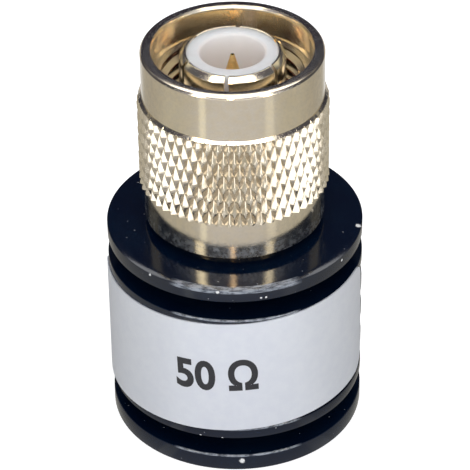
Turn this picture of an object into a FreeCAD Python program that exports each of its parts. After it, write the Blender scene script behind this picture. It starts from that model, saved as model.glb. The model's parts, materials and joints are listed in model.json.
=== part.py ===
import FreeCAD, Part
import math
import os

import Sketcher

# A coaxial terminator: a threaded plug on a round, finned heat sink, with a film resistor inside.
# Millimetres. The origin is the centre of the flat base, +Z points out of the plug's mouth,
# and the front is the -Y side.

doc = FreeCAD.newDocument("coaxial_terminator")

# Driving dimensions

SIZES = {
    # heat sink
    "sink_radius": 10.0,
    "base_disc_height": 1.45,
    "fin_thickness": 0.93,
    "fin_gap": 1.73,
    "fin_count": 5,
    "top_disc_height": 1.17,
    "base_edge_chamfer": 0.12,
    "top_edge_chamfer": 0.3,
    "core_wall": 1.6,
    # label
    "label_wrap_angle": 171.2,
    "label_height": 10.3,
    "label_corner": 1.5,
    "label_thickness": 0.1,
    "label_middle_height": 9.25,
    "label_turn": -9.1,
    "label_skew": 2.3,
    # coupling nut
    "nut_wall": 1.4,
    "tail_gap": 0.72,
    "tail_length": 3.18,
    "knurl_length": 7.56,
    "front_length": 3.86,
    "knurl_crest": 0.4,
    "knurl_root": 0.02,
    "knurl_columns": 56,
    "knurl_rows": 7,
    "rim_chamfer": 0.13,
    "rim_chamfer_height": 0.16,
    "rim_fall": 0.09,
    "mouth_wall": 0.9,
    "mouth_depth": 2.42,
    "mouth_chamfer": 0.1,
    "mouth_chamfer_height": 0.33,
    "thread_room": 1.07,
    "thread_lead": 0.44,
    "thread_clearance": 0.3,
    "tail_chamfer": 0.12,
    # snap ring and the grooves that hold it
    "groove_offset": 2.08,
    "ring_thickness": 0.75,
    "ring_width": 1.1,
    "ring_bite": 0.5,
    "ring_play": 0.05,
    "ring_opening_angle": 30.0,
    "nut_travel": 0.3,
    # plug body
    "shell_wall": 1.27,
    "shell_height": 8.4,
    "running_gap": 0.07,
    "flange_height": 0.42,
    "flange_step": 0.37,
    "barrel_step": 0.53,
    "barrel_length": 5.8,
    "edge_break": 0.15,
    "fit_gap": 0.01,
    # outer contact and gasket
    "contact_wall": 0.55,
    "contact_reach": 6.6,
    "contact_seat_depth": 2.2,
    "contact_seat_step": 0.2,
    "contact_rounding": 0.42,
    "slot_count": 6,
    "slot_width": 0.32,
    "slot_length": 5.1,
    "slot_turn": -7.0,
    "gasket_width": 1.1,
    "gasket_thickness": 1.2,
    "gasket_chamfer": 0.25,
    # insulators
    "insulator_radius": 3.48,
    "mouth_bore_radius": 2.45,
    "mouth_bore_depth": 5.4,
    "mouth_bore_chamfer": 0.25,
    "bead_length": 2.2,
    "bead_seat_height": 1.6,
    "bead_step": 0.2,
    # centre pin
    "pin_radius": 0.685,
    "pin_recess": 0.31,
    "pin_nose_radius": 0.15,
    "pin_nose_length": 1.9,
    "pin_neck_radius": 1.05,
    "collar_length": 0.8,
    "collar_radius": 2.0,
    "pin_rear_reach": 3.0,
    "socket_depth": 3.4,
    "socket_wall": 0.25,
    "socket_slots": 4,
    "socket_slot_width": 0.25,
    "socket_slot_length": 2.6,
    # resistor
    "rod_radius": 1.0,
    "rod_length": 10.8,
    "cap_wall": 0.18,
    "cap_end": 0.2,
    "cap_length": 1.8,
    "cap_seat": 0.4,
    # ground collet and matching sleeve
    "collet_wall": 0.8,
    "collet_length": 2.5,
    "collet_floor": 0.7,
    "collet_clearance": 0.1,
    "collet_slots": 4,
    "collet_slot_width": 0.3,
    "collet_slot_length": 1.6,
    "sleeve_radius": 4.3,
    "sleeve_floor": 1.0,
    "sleeve_lip": 0.2,
}

# Heights and radii that follow from them, each a formula over the sizes and the lines above it

LEVELS = {
    "groove_count": "sizes.fin_count + 1",
    "fin_pitch": "sizes.fin_gap + sizes.fin_thickness",
    "sink_top": "sizes.base_disc_height + groove_count * sizes.fin_gap"
                " + sizes.fin_count * sizes.fin_thickness + sizes.top_disc_height",
    "shell_bore_radius": "sizes.insulator_radius + 2 * sizes.fit_gap",
    "contact_outer_radius": "shell_bore_radius + sizes.contact_wall",
    "contact_seat_radius": "contact_outer_radius + sizes.contact_seat_step",
    "shell_radius": "contact_seat_radius + sizes.fit_gap + sizes.shell_wall",
    "barrel_radius": "shell_radius - sizes.barrel_step",
    "core_radius": "barrel_radius + sizes.core_wall",
    "nut_bottom": "sink_top + sizes.tail_gap",
    "knurl_bottom": "nut_bottom + sizes.tail_length",
    "knurl_top": "knurl_bottom + sizes.knurl_length",
    "nut_top": "knurl_top + sizes.front_length",
    "mouth_floor": "nut_top - sizes.mouth_depth",
    "shoulder": "sink_top + sizes.shell_height",
    "gasket_top": "shoulder + sizes.gasket_thickness",
    "thread_bottom": "gasket_top + sizes.thread_clearance",
    "nut_bore_radius": "shell_radius + sizes.running_gap",
    "nut_radius": "nut_bore_radius + sizes.nut_wall",
    "mouth_radius": "nut_radius - sizes.mouth_wall",
    "thread_radius": "contact_outer_radius + sizes.thread_room",
    "ring_outer_radius": "nut_bore_radius + sizes.ring_bite",
    "ring_inner_radius": "ring_outer_radius - sizes.ring_width",
    "nut_groove_radius": "ring_outer_radius + 2 * sizes.ring_play",
    "shell_groove_radius": "nut_bore_radius - sizes.ring_width - 2 * sizes.ring_play",
    "groove_bottom": "nut_bottom + sizes.groove_offset",
    "ring_bottom": "groove_bottom + sizes.ring_play",
    "ring_top": "ring_bottom + sizes.ring_thickness",
    "nut_groove_top": "ring_top + sizes.ring_play",
    "shell_groove_top": "nut_groove_top + sizes.nut_travel",
    "shell_bottom": "sink_top - sizes.barrel_length",
    "contact_bottom": "shoulder - sizes.contact_seat_depth",
    "contact_top": "shoulder + sizes.contact_reach",
    "line_radius": "sizes.insulator_radius - sizes.bead_step",
    "bead_bottom": "sink_top + sizes.bead_seat_height",
    "bead_top": "bead_bottom + sizes.bead_length",
    "collar_top": "bead_top + sizes.collar_length",
    "mouth_bore_floor": "contact_top - sizes.mouth_bore_depth",
    "pin_tip": "contact_top - sizes.pin_recess",
    "pin_bottom": "sink_top - sizes.pin_rear_reach",
    "socket_floor": "pin_bottom + sizes.socket_depth",
    "cap_radius": "sizes.rod_radius + sizes.fit_gap + sizes.cap_wall",
    "socket_radius": "cap_radius + sizes.fit_gap",
    "pin_rear_radius": "socket_radius + sizes.socket_wall",
    "front_cap_top": "socket_floor - sizes.cap_seat",
    "rod_top": "front_cap_top - sizes.cap_end",
    "rod_bottom": "rod_top - sizes.rod_length",
    "rear_cap_bottom": "rod_bottom - sizes.cap_end",
    "collet_bore_floor": "rear_cap_bottom - sizes.collet_clearance",
    "collet_bottom": "collet_bore_floor - sizes.collet_floor",
    "collet_top": "collet_bottom + sizes.collet_length",
    "collet_radius": "socket_radius + sizes.collet_wall",
    "collet_seat_radius": "collet_radius + sizes.fit_gap",
    "sleeve_bottom": "collet_bottom - sizes.sleeve_floor",
    "sleeve_lip_bottom": "collet_top + sizes.sleeve_lip",
}


def fill_sheet(name, cells):
    """A spreadsheet with one named cell a row."""
    sheet = doc.addObject("Spreadsheet::Sheet", name)
    for row, (alias, content) in enumerate(cells.items(), start=1):
        sheet.set(f"A{row}", alias)
        sheet.set(f"B{row}", content)
        sheet.setAlias(f"B{row}", alias)
    doc.recompute()
    return sheet


sizes = fill_sheet("sizes", {alias: str(number) for alias, number in SIZES.items()})
levels = fill_sheet("levels", {alias: "=" + formula for alias, formula in LEVELS.items()})


def value(expression):
    """The number that an expression over the two sheets gives now."""
    return float(levels.evalExpression(expression))


def size(alias):
    """A cell of the sizes sheet, for an expression."""
    return f"sizes.{alias}"


def level(alias):
    """A cell of the levels sheet, for an expression."""
    return f"levels.{alias}"


def new_body(label):
    body = doc.addObject("PartDesign::Body", label)
    body.Label = label
    return body


def origin_feature(body, role):
    return next(item for item in body.Origin.OriginFeatures if item.Role == role)


def outline(body, name, plane, corners):
    """A closed sketch of straight lines, with each corner's two coordinates bound to expressions."""
    sketch = body.newObject("Sketcher::SketchObject", name)
    sketch.AttachmentSupport = (origin_feature(body, plane), [""])
    sketch.MapMode = "FlatFace"
    points = [FreeCAD.Vector(value(across), value(up), 0) for across, up in corners]
    count = len(points)
    for index in range(count):
        sketch.addGeometry(Part.LineSegment(points[index], points[(index + 1) % count]), False)
    for index in range(count):
        sketch.addConstraint(Sketcher.Constraint("Coincident", index, 2, (index + 1) % count, 1))
    horizontal_axis, vertical_axis = -1, -2
    for index, (across, up) in enumerate(corners):
        for kind, expression, number, axis in (
            ("DistanceX", across, points[index].x, vertical_axis),
            ("DistanceY", up, points[index].y, horizontal_axis),
        ):
            if expression == "0":
                sketch.addConstraint(Sketcher.Constraint("PointOnObject", index, 1, axis))
                continue
            constraint = sketch.addConstraint(Sketcher.Constraint(kind, index, 1, number))
            sketch.setExpression(f"Constraints[{constraint}]", expression)
    return sketch


def turned(body, name, corners):
    """A revolved profile: each corner is a radius and a height."""
    profile = outline(body, name + "_profile", "XZ_Plane", corners)
    revolution = body.newObject("PartDesign::Revolution", name)
    revolution.Profile = (profile, [""])
    revolution.ReferenceAxis = (profile, ["V_Axis"])
    revolution.Angle = 360
    doc.recompute()
    return revolution


def cut_slots(body, name, width, reach, floor, height, count, turn="0"):
    """Radial slots, cut upwards from the level floor by height, round the axis from the -Y side.

    The first slot is turned from -Y by turn, in degrees.
    """
    half = f"({width}) / 2"
    sketch = outline(
        body,
        name + "_outline",
        "XY_Plane",
        [(f"-{half}", "0"), (half, "0"), (half, f"-({reach})"), (f"-{half}", f"-({reach})")],
    )
    sketch.AttachmentOffset = FreeCAD.Placement(
        FreeCAD.Vector(0, 0, value(floor)),
        FreeCAD.Rotation(FreeCAD.Vector(0, 0, 1), value(turn)),
    )
    sketch.setExpression("AttachmentOffset.Base.z", floor)
    sketch.setExpression("AttachmentOffset.Rotation.Angle", f"{turn} * 1 deg")
    before = body.Shape.Volume
    slot = body.newObject("PartDesign::Pocket", name)
    slot.Profile = (sketch, [""])
    slot.Type = "Length"
    slot.setExpression("Length", height)
    slot.Reversed = True
    pattern = body.newObject("PartDesign::PolarPattern", name + "_round")
    pattern.Originals = [slot]
    pattern.Axis = (origin_feature(body, "Z_Axis"), [""])
    pattern.Angle = 360
    pattern.setExpression("Occurrences", count)
    body.Tip = pattern
    doc.recompute()
    if body.Shape.Volume >= before:
        raise RuntimeError(f"{name} cuts nothing")


def circles_at(shape, radius, height):
    """Names of the round edges of that radius that lie at that height."""
    names = []
    for index, edge in enumerate(shape.Edges, start=1):
        curve = edge.Curve
        if not isinstance(curve, Part.Circle):
            continue
        if abs(curve.Radius - radius) < 1e-4 and abs(curve.Center.z - height) < 1e-4:
            names.append(f"Edge{index}")
    return names


def round_ring(body, name, base, ring_radius, ring_height, radius):
    """A fillet on a whole ring, which is given by its radius and height."""
    fillet = body.newObject("PartDesign::Fillet", name)
    fillet.Base = (base, circles_at(base.Shape, value(ring_radius), value(ring_height)))
    fillet.setExpression("Radius", radius)
    doc.recompute()


def make_heat_sink():
    """A turned blank with a stepped blind bore, then one groove between fins, repeated up the axis."""
    body = new_body("heat_sink")
    radius = size("sink_radius")
    chamfer = size("base_edge_chamfer")
    top_chamfer = size("top_edge_chamfer")
    top = level("sink_top")
    turned(body, "sink_blank", [
        ("0", "0"),
        (f"{radius} - {chamfer}", "0"),
        (radius, chamfer),
        (radius, f"{top} - {top_chamfer}"),
        (f"{radius} - {top_chamfer}", top),
        (level("barrel_radius"), top),
        (level("barrel_radius"), level("shell_bottom")),
        (size("sleeve_radius"), level("shell_bottom")),
        (size("sleeve_radius"), level("sleeve_bottom")),
        ("0", level("sleeve_bottom")),
    ])
    before = body.Shape.Volume
    low = size("base_disc_height")
    high = f"{low} + {size('fin_gap')}"
    beyond = f"{radius} + {size('fin_gap')}"
    profile = outline(body, "fin_groove_profile", "XZ_Plane", [
        (level("core_radius"), low),
        (beyond, low),
        (beyond, high),
        (level("core_radius"), high),
    ])
    groove = body.newObject("PartDesign::Groove", "fin_groove")
    groove.Profile = (profile, [""])
    groove.ReferenceAxis = (profile, ["V_Axis"])
    groove.Angle = 360
    pattern = body.newObject("PartDesign::LinearPattern", "fin_grooves")
    pattern.Originals = [groove]
    pattern.Direction = (origin_feature(body, "Z_Axis"), [""])
    pattern.setExpression("Length", f"({level('groove_count')} - 1) * {level('fin_pitch')}")
    pattern.setExpression("Occurrences", level("groove_count"))
    body.Tip = pattern
    doc.recompute()
    if body.Shape.Volume >= before:
        raise RuntimeError("the fin grooves cut nothing")


def make_label():
    """A sticker wrapped on the fins: a rounded rectangle, turned by its skew, on the outer cylinder."""
    inner = sizes.sink_radius + 2 * sizes.fit_gap
    cylinder = Part.Cylinder()
    cylinder.Radius = inner
    skew = math.radians(sizes.label_skew)
    # the angle runs from +X, and the front is at three quarters of a turn
    middle = math.radians(270 + sizes.label_turn)

    def on_cylinder(along, up):
        across = along * math.cos(skew) - up * math.sin(skew)
        rise = along * math.sin(skew) + up * math.cos(skew)
        return FreeCAD.Base.Vector2d(middle + across / inner, sizes.label_middle_height + rise)

    def towards(start, end, distance):
        share = distance / math.dist(start, end)
        return tuple(a + (b - a) * share for a, b in zip(start, end))

    half_length = inner * math.radians(sizes.label_wrap_angle) / 2
    half_height = sizes.label_height / 2
    corners = [
        (-half_length, -half_height),
        (half_length, -half_height),
        (half_length, half_height),
        (-half_length, half_height),
    ]
    edges = []
    for index, corner in enumerate(corners):
        before = corners[index - 1]
        after = corners[(index + 1) % len(corners)]
        arrive = towards(corner, before, sizes.label_corner)
        leave = towards(corner, after, sizes.label_corner)
        stop = towards(after, corner, sizes.label_corner)
        quarter = Part.Geom2d.BezierCurve2d()
        quarter.setPoles([on_cylinder(*arrive), on_cylinder(*corner), on_cylinder(*leave)])
        # this weight on the middle pole makes the curve a true quarter circle
        quarter.setWeight(2, math.sqrt(0.5))
        edges.append(quarter.toShape(cylinder))
        side = Part.Geom2d.Line2dSegment(on_cylinder(*leave), on_cylinder(*stop))
        edges.append(side.toShape(cylinder))
    face = Part.Face(cylinder, Part.Wire(edges))
    face.validate()
    label = doc.addObject("Part::Feature", "label")
    label.Label = "label"
    label.Shape = face.makeOffsetShape(sizes.label_thickness, 1e-5, fill=True)


def make_knurl_band():
    """The knurl as flat facets: crests and roots alternate in every row and from row to row."""
    rows = int(sizes.knurl_rows)
    steps = 2 * int(sizes.knurl_columns)
    crest = levels.nut_radius + sizes.knurl_crest
    root = levels.nut_radius + sizes.knurl_root
    bottom = levels.knurl_bottom
    row_height = sizes.knurl_length / rows

    def point(step, row):
        radius = root if (step + row) % 2 else crest
        angle = 2 * math.pi * step / steps
        height = bottom + row * row_height
        return FreeCAD.Vector(radius * math.cos(angle), radius * math.sin(angle), height)

    faces = []
    for row in range(rows):
        for step in range(steps):
            near_low, far_low = point(step, row), point(step + 1, row)
            near_high, far_high = point(step, row + 1), point(step + 1, row + 1)
            # the shared edge of the two facets joins the cell's two roots
            if (step + row) % 2:
                halves = ((near_low, far_low, far_high), (near_low, far_high, near_high))
            else:
                halves = ((near_low, far_low, near_high), (far_low, far_high, near_high))
            for one, two, three in halves:
                faces.append(Part.Face(Part.makePolygon([one, two, three, one])))
    for row in (0, rows):
        rim = [point(step, row) for step in range(steps)]
        faces.append(Part.Face(Part.makePolygon(rim + rim[:1])))
    disc = Part.Solid(Part.makeShell(faces))
    if disc.Volume < 0:
        disc.reverse()
    overlap = 0.2
    hole = Part.makeCylinder(
        levels.nut_radius - overlap,
        sizes.knurl_length,
        FreeCAD.Vector(0, 0, bottom),
    )
    band = doc.addObject("Part::Feature", "knurl_band")
    band.Shape = disc.cut(hole)
    return band


def make_coupling_nut():
    """A turned nut with the knurl band fused on."""
    body = new_body("nut_turning")
    radius = level("nut_radius")
    tail = size("tail_chamfer")
    bottom = level("nut_bottom")
    top = level("nut_top")
    rim = f"{top} - {size('rim_fall')}"
    mouth = level("mouth_radius")
    lead = size("thread_lead")
    bore = level("nut_bore_radius")
    turned(body, "nut_blank", [
        (f"{bore} + {tail}", bottom),
        (f"{radius} - {tail}", bottom),
        (radius, f"{bottom} + {tail}"),
        (radius, f"{rim} - {size('rim_chamfer_height')}"),
        (f"{radius} - {size('rim_chamfer')}", rim),
        (f"{mouth} + {size('mouth_chamfer')}", top),
        (mouth, f"{top} - {size('mouth_chamfer_height')}"),
        (mouth, level("mouth_floor")),
        (f"{level('thread_radius')} + {lead}", level("mouth_floor")),
        (level("thread_radius"), f"{level('mouth_floor')} - {lead}"),
        (level("thread_radius"), level("thread_bottom")),
        (bore, level("thread_bottom")),
        (bore, level("nut_groove_top")),
        (level("nut_groove_radius"), level("nut_groove_top")),
        (level("nut_groove_radius"), level("groove_bottom")),
        (bore, level("groove_bottom")),
        (bore, f"{bottom} + {tail}"),
    ])
    nut = doc.addObject("Part::MultiFuse", "coupling_nut")
    nut.Label = "coupling_nut"
    nut.Shapes = [body, make_knurl_band()]
    doc.recompute()


def make_nut_snap_ring():
    """A spring ring with an opening, so that it can close into the shell's groove."""
    body = new_body("nut_snap_ring")
    profile = outline(body, "ring_profile", "XZ_Plane", [
        (level("ring_inner_radius"), level("ring_bottom")),
        (level("ring_outer_radius"), level("ring_bottom")),
        (level("ring_outer_radius"), level("ring_top")),
        (level("ring_inner_radius"), level("ring_top")),
    ])
    ring = body.newObject("PartDesign::Revolution", "ring")
    ring.Profile = (profile, [""])
    ring.ReferenceAxis = (profile, ["V_Axis"])
    ring.setExpression("Angle", f"360 - {size('ring_opening_angle')}")
    doc.recompute()


def make_connector_shell():
    """The plug body: a barrel in the heat sink, a flange on it, the ring's groove and a shoulder."""
    body = new_body("connector_shell")
    barrel = f"{level('barrel_radius')} - {size('fit_gap')}"
    flange = f"{level('shell_radius')} + {size('flange_step')}"
    edge = size("edge_break")
    shell = level("shell_radius")
    sink_top = level("sink_top")
    flange_top = f"{sink_top} + {size('flange_height')}"
    seat = f"{level('contact_seat_radius')} + {size('fit_gap')}"
    turned(body, "shell_turning", [
        (level("line_radius"), level("shell_bottom")),
        (f"{barrel} - {edge}", level("shell_bottom")),
        (barrel, f"{level('shell_bottom')} + {edge}"),
        (barrel, sink_top),
        (flange, sink_top),
        (flange, flange_top),
        (shell, flange_top),
        (shell, level("groove_bottom")),
        (level("shell_groove_radius"), level("groove_bottom")),
        (level("shell_groove_radius"), level("shell_groove_top")),
        (shell, level("shell_groove_top")),
        (shell, f"{level('shoulder')} - {edge}"),
        (f"{shell} - {edge}", level("shoulder")),
        (seat, level("shoulder")),
        (seat, level("contact_bottom")),
        (level("shell_bore_radius"), level("contact_bottom")),
        (level("shell_bore_radius"), level("bead_bottom")),
        (level("line_radius"), level("bead_bottom")),
    ])


def make_outer_contact():
    """A spring sleeve with a thicker foot, rounded at its front and slotted into fingers."""
    body = new_body("outer_contact")
    inner = level("shell_bore_radius")
    outer = level("contact_outer_radius")
    seat = level("contact_seat_radius")
    sleeve = turned(body, "contact_sleeve", [
        (inner, level("contact_bottom")),
        (seat, level("contact_bottom")),
        (seat, level("gasket_top")),
        (outer, level("gasket_top")),
        (outer, level("contact_top")),
        (inner, level("contact_top")),
    ])
    round_ring(body, "contact_front", sleeve, outer, level("contact_top"),
               size("contact_rounding"))
    cut_slots(
        body,
        "contact_slot",
        size("slot_width"),
        f"{outer} + {size('slot_width')}",
        f"{level('contact_top')} - {size('slot_length')}",
        f"{size('slot_length')} + {size('slot_width')}",
        size("slot_count"),
        size("slot_turn"),
    )


def make_gasket():
    """A soft ring round the foot of the outer contact, on the shell's shoulder."""
    body = new_body("gasket")
    inner = f"{level('contact_seat_radius')} + {size('fit_gap')}"
    outer = f"{inner} + {size('gasket_width')}"
    chamfer = size("gasket_chamfer")
    turned(body, "gasket_ring", [
        (inner, level("shoulder")),
        (outer, level("shoulder")),
        (outer, f"{level('gasket_top')} - {chamfer}"),
        (f"{outer} - {chamfer}", level("gasket_top")),
        (f"{inner} + {chamfer}", level("gasket_top")),
        (inner, f"{level('gasket_top')} - {chamfer}"),
    ])


def make_front_insulator():
    """The plug's white sleeve: a wide bore at the mouth, a hole for the pin's neck and a collar pocket."""
    body = new_body("front_insulator")
    bore = size("mouth_bore_radius")
    chamfer = size("mouth_bore_chamfer")
    top = level("contact_top")
    gap = size("fit_gap")
    neck = f"{size('pin_neck_radius')} + {gap}"
    pocket = f"{size('collar_radius')} + {gap}"
    turned(body, "front_sleeve", [
        (pocket, level("bead_top")),
        (size("insulator_radius"), level("bead_top")),
        (size("insulator_radius"), top),
        (f"{bore} + {chamfer}", top),
        (bore, f"{top} - {chamfer}"),
        (bore, level("mouth_bore_floor")),
        (neck, level("mouth_bore_floor")),
        (neck, level("collar_top")),
        (pocket, level("collar_top")),
    ])


def make_rear_insulator():
    """The bead behind the pin's collar."""
    body = new_body("rear_insulator")
    hole = f"{level('pin_rear_radius')} + {size('fit_gap')}"
    turned(body, "bead", [
        (hole, level("bead_bottom")),
        (size("insulator_radius"), level("bead_bottom")),
        (size("insulator_radius"), level("bead_top")),
        (hole, level("bead_top")),
    ])


def make_centre_pin():
    """The pin, from its nose to the slotted socket that grips the resistor."""
    body = new_body("centre_pin")
    tip = level("pin_tip")
    turned(body, "pin_turning", [
        ("0", tip),
        (size("pin_nose_radius"), tip),
        (size("pin_radius"), f"{tip} - {size('pin_nose_length')}"),
        (size("pin_radius"), level("mouth_bore_floor")),
        (size("pin_neck_radius"), level("mouth_bore_floor")),
        (size("pin_neck_radius"), level("collar_top")),
        (size("collar_radius"), level("collar_top")),
        (size("collar_radius"), level("bead_top")),
        (level("pin_rear_radius"), level("bead_top")),
        (level("pin_rear_radius"), level("pin_bottom")),
        (level("socket_radius"), level("pin_bottom")),
        (level("socket_radius"), level("socket_floor")),
        ("0", level("socket_floor")),
    ])
    cut_slots(
        body,
        "socket_slot",
        size("socket_slot_width"),
        f"{level('pin_rear_radius')} + {size('socket_slot_width')}",
        level("pin_bottom"),
        size("socket_slot_length"),
        size("socket_slots"),
    )


def make_resistor():
    """A film resistor rod with a cup-shaped cap pressed on each end."""
    rod = doc.addObject("Part::Cylinder", "resistor_rod")
    rod.Label = "resistor_rod"
    rod.setExpression("Radius", size("rod_radius"))
    rod.setExpression("Height", size("rod_length"))
    rod.setExpression("Placement.Base.z", level("rod_bottom"))
    caps = (
        ("resistor_front_cap", level("front_cap_top"), level("rod_top"), "-"),
        ("resistor_rear_cap", level("rear_cap_bottom"), level("rod_bottom"), "+"),
    )
    bore = f"{size('rod_radius')} + {size('fit_gap')}"
    for label, closed_end, floor, direction in caps:
        body = new_body(label)
        open_end = f"{closed_end} {direction} {size('cap_length')}"
        turned(body, label + "_cup", [
            ("0", closed_end),
            (level("cap_radius"), closed_end),
            (level("cap_radius"), open_end),
            (bore, open_end),
            (bore, floor),
            ("0", floor),
        ])


def make_ground_collet():
    """The slotted brass cup that grips the resistor's rear cap."""
    body = new_body("ground_collet")
    turned(body, "collet_turning", [
        ("0", level("collet_bottom")),
        (level("collet_radius"), level("collet_bottom")),
        (level("collet_radius"), level("collet_top")),
        (level("socket_radius"), level("collet_top")),
        (level("socket_radius"), level("collet_bore_floor")),
        ("0", level("collet_bore_floor")),
    ])
    cut_slots(
        body,
        "collet_slot",
        size("collet_slot_width"),
        f"{level('collet_radius')} + {size('collet_slot_width')}",
        f"{level('collet_top')} - {size('collet_slot_length')}",
        f"{size('collet_slot_length')} + {size('collet_slot_width')}",
        size("collet_slots"),
    )


def make_matching_sleeve():
    """The sleeve below the shell: its bore tapers along the resistor down to the collet's seat."""
    body = new_body("matching_sleeve")
    outer = f"{size('sleeve_radius')} - {size('fit_gap')}"
    turned(body, "sleeve_turning", [
        ("0", level("sleeve_bottom")),
        (outer, level("sleeve_bottom")),
        (outer, level("shell_bottom")),
        (level("line_radius"), level("shell_bottom")),
        (level("collet_seat_radius"), level("sleeve_lip_bottom")),
        (level("collet_seat_radius"), level("collet_bottom")),
        ("0", level("collet_bottom")),
    ])


make_heat_sink()
make_label()
make_coupling_nut()
make_nut_snap_ring()
make_connector_shell()
make_outer_contact()
make_gasket()
make_front_insulator()
make_rear_insulator()
make_centre_pin()
make_resistor()
make_ground_collet()
make_matching_sleeve()
doc.recompute()

NODES = (
    "heat_sink",
    "label",
    "coupling_nut",
    "nut_snap_ring",
    "connector_shell",
    "outer_contact",
    "gasket",
    "front_insulator",
    "rear_insulator",
    "centre_pin",
    "resistor_rod",
    "resistor_front_cap",
    "resistor_rear_cap",
    "ground_collet",
    "matching_sleeve",
)

failed = [item.Name for item in doc.Objects if {"Invalid", "Error"} & set(item.State)]
if failed:
    raise RuntimeError("these objects failed: " + ", ".join(failed))
parts = {name: doc.getObjectsByLabel(name)[0] for name in NODES}
for name, part in parts.items():
    if part.Shape.isNull() or not part.Shape.isValid():
        raise RuntimeError(f"{name} has no valid shape")
    if len(part.Shape.Solids) != 1:
        raise RuntimeError(f"{name} is not one solid")

os.makedirs("parts", exist_ok=True)
for name, part in parts.items():
    part.Shape.exportStep(f"parts/{name}.step")
    box = part.Shape.BoundBox
    print(f"{name}: {part.Shape.Volume:.2f} mm3, from {box.ZMin:.2f} to {box.ZMax:.2f} mm")
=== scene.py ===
import json
import math
import random

import bmesh
import bpy
from mathutils import Matrix, Quaternion, Vector, noise


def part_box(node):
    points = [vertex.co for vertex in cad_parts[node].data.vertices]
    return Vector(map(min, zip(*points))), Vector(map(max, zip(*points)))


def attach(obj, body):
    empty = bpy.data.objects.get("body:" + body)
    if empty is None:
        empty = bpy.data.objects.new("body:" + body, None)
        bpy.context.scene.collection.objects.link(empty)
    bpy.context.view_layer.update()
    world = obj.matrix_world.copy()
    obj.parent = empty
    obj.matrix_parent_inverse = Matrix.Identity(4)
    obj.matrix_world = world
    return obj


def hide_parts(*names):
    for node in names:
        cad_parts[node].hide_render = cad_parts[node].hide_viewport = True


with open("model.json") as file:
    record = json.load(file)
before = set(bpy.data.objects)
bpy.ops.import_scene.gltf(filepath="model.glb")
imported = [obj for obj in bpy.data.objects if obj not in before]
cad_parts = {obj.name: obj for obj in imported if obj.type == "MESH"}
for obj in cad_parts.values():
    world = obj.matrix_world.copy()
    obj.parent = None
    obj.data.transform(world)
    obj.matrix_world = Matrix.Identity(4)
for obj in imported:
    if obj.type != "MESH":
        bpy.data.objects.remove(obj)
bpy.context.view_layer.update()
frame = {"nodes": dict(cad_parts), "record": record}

# Lengths below are millimetres, and MM turns them into the frame's metres.
# Azimuths are degrees round the axis from the front, -Y, and grow towards +X.
MM = 0.001


def top_of(node):
    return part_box(node)[1].z / MM


def bottom_of(node):
    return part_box(node)[0].z / MM


def radius_of(node):
    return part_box(node)[1].x / MM


# Heat sink

SINK_RADIUS = radius_of("heat_sink")
SINK_TOP = top_of("heat_sink")
BASE_DISC = 1.45
FIN_GAP = 1.73
FIN_PITCH = 2.66
FIN_GROOVES = 6
CORE_RADIUS = 6.6
EDGE_ROUNDING = 0.1
TOP_BEVEL = 0.63
TOP_FALL = 0.08
TOP_ROUNDING = 0.02
BARREL_RADIUS = 5.0
BARREL_BOTTOM = bottom_of("connector_shell")
SLEEVE_RADIUS = 4.3
SLEEVE_BOTTOM = bottom_of("matching_sleeve")
SINK_STEPS = 256

# Label

LABEL_RADIUS = SINK_RADIUS + 0.02
LABEL_WRAP = 171.2
LABEL_LENGTH = math.radians(LABEL_WRAP) * LABEL_RADIUS
LABEL_HEIGHT = 10.3
LABEL_CORNER = 1.5
LABEL_THICKNESS = 0.1
LABEL_MIDDLE = 9.25
LABEL_TURN = -9.1
LABEL_SKEW = 2.3
LABEL_COLUMN = 0.25
PRINT_HEIGHT = 2.75
FIGURE_SHARE = 0.73
PRINT_WEIGHT = 0.03
PRINT_STRETCH = 0.86
PRINT_PROUD = 0.012
PRINT_COLUMN = 0.2

# Coupling nut

NUT_RADIUS = 7.0
NUT_BOTTOM = bottom_of("coupling_nut")
NUT_TOP = top_of("coupling_nut")
KNURL_BOTTOM = NUT_BOTTOM + 3.18
KNURL_TOP = NUT_TOP - 3.86
KNURL_ROW = 1.11
KNURL_SHIFT = 0.5
KNURL_COLUMNS = 56
KNURL_CREST = NUT_RADIUS + 0.345
KNURL_TIP = NUT_RADIUS + 0.42
KNURL_FOOT = NUT_RADIUS - 0.2
KNURL_LEDGE = 0.02
KNURL_GRID = 16
KNURL_ROUNDING = 14
KNURL_END = 0.35
MOUTH_RADIUS = 6.1
MOUTH_FLOOR = NUT_TOP - 2.42
MOUTH_BEVEL = (0.1, 0.33)
RIM_FALL = 0.09
RIM_BEVEL = (0.13, 0.16)
TAIL_ROUNDING = 0.12
THREAD_MAJOR = 5.56
THREAD_MINOR = 5.12
THREAD_PITCH = 25.4 / 28
THREAD_ROOT = 0.36
THREAD_CREST = 0.07
THREAD_TURNS = 3
THREAD_STEPS = 96
THREAD_SUNK = 0.03
THREAD_BELOW_FLOOR = 0.05
NUT_BORE = 5.6
BORE_BEVEL = 0.12
RING_GROOVE_BOTTOM = NUT_BOTTOM + 2.08
RING_GROOVE_TOP = NUT_BOTTOM + 2.93
RING_GROOVE_RADIUS = 6.2

# depth of the knurl's grooves in the middle and its change to the side, for each hand
KNURL_DEPTHS = ((0.36, 0.04), (0.325, -0.08))
KNURL_UNEVEN = 0.035
# how often and how far the knurl's face wanders, in patches drawn out along the axis
KNURL_WANDER = ((2.3, 0.022), (5.1, 0.024))
WANDER_FLATTENING = 0.45

# Plug

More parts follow.
